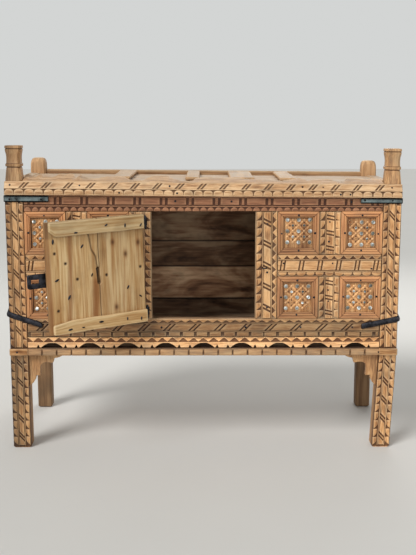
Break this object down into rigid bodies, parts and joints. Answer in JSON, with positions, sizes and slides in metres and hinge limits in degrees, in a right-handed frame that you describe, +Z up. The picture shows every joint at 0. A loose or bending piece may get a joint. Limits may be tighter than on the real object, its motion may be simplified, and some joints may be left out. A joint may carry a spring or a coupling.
{
  "type": "damchiya chest",
  "caption": "Carved wooden dowry chest raised on posts, with a mirror-panelled front, a small ledged door on strap hinges, a hasp, a sunk batten top and iron corner straps.",
  "frame": {"origin": "on the floor, under the middle of the box round the chest with its door standing open as pictured", "axes": "+X along the front to the right as seen from the front, +Y from the front to the back, +Z up"},
  "size_m": [1.2106, 0.6732, 0.9454],
  "materials": {
    "carved_teak": "worn, waxed carving",
    "plain_teak": "dry plain boards",
    "dark_boards": "dark unfinished boards",
    "pale_door_wood": "pale worn planks",
    "grey_strap_iron": "dull grey wrought strap",
    "black_iron": "black wrought iron"
  },
  "bodies": {
    "carcass": {"back_board_1": "dark_boards", "back_board_2": "dark_boards", "back_board_3": "dark_boards", "base_rail_front": "carved_teak", "corner_bar_left": "black_iron", "corner_bar_right": "black_iron", "corner_strap_left": "grey_strap_iron", "corner_strap_right": "grey_strap_iron", "door_stile_left": "carved_teak", "door_stile_right": "carved_teak", "floor_board": "dark_boards", "frieze_rail": "carved_teak", "front_board_left": "plain_teak", "front_board_right": "plain_teak", "hinge_pin_bottom": "black_iron", "hinge_pin_top": "black_iron", "leg_bracket_left": "carved_teak", "leg_bracket_right": "carved_teak", "lock_staple": "black_iron", "low_rail_back": "dark_boards", "mid_rail_left": "carved_teak", "mid_rail_right": "carved_teak", "muntin_left_lower": "carved_teak", "muntin_left_upper": "carved_teak", "muntin_right_lower": "carved_teak", "muntin_right_upper": "carved_teak", "panel_frame_left_lower_inner": "carved_teak", "panel_frame_left_lower_outer": "carved_teak", "panel_frame_left_upper_inner": "carved_teak", "panel_frame_left_upper_outer": "carved_teak", "panel_frame_right_lower_inner": "carved_teak", "panel_frame_right_lower_outer": "carved_teak", "panel_frame_right_upper_inner": "carved_teak", "panel_frame_right_upper_outer": "carved_teak", "post_back_left": "plain_teak", "post_back_right": "plain_teak", "post_front_left": "carved_teak", "post_front_right": "carved_teak", "side_wall_left": "plain_teak", "side_wall_right": "plain_teak", "sill_rail": "carved_teak", "top_batten_1": "plain_teak", "top_batten_2": "plain_teak", "top_batten_3": "plain_teak", "top_batten_4": "plain_teak", "top_board_back": "plain_teak", "top_board_front": "plain_teak", "top_rail_back": "plain_teak", "top_rail_front": "carved_teak", "top_rail_left": "plain_teak", "top_rail_right": "plain_teak", "valance": "carved_teak"},
    "door": {"door_ledge_bottom": "pale_door_wood", "door_ledge_top": "pale_door_wood", "door_plank_free": "pale_door_wood", "door_plank_hinge": "pale_door_wood", "hinge_strap_bottom": "black_iron", "hinge_strap_top": "black_iron", "hasp_staple": "black_iron"},
    "hasp": {"hasp": "black_iron"}
  },
  "joints": [
    {"name": "door_hinge", "type": "hinge", "parent": "carcass", "child": "door", "pos_m": [-0.174, -0.1369, 0.58075], "axis": [0.015, 0, -0.9999], "range_deg": [-149, 11]},
    {"name": "hasp_hinge", "type": "hinge", "parent": "door", "child": "hasp", "pos_m": [-0.42309, -0.28783, 0.56764], "axis": [0.0279, 0.0077, -0.9996], "range_deg": [0, 100]}
  ]
}
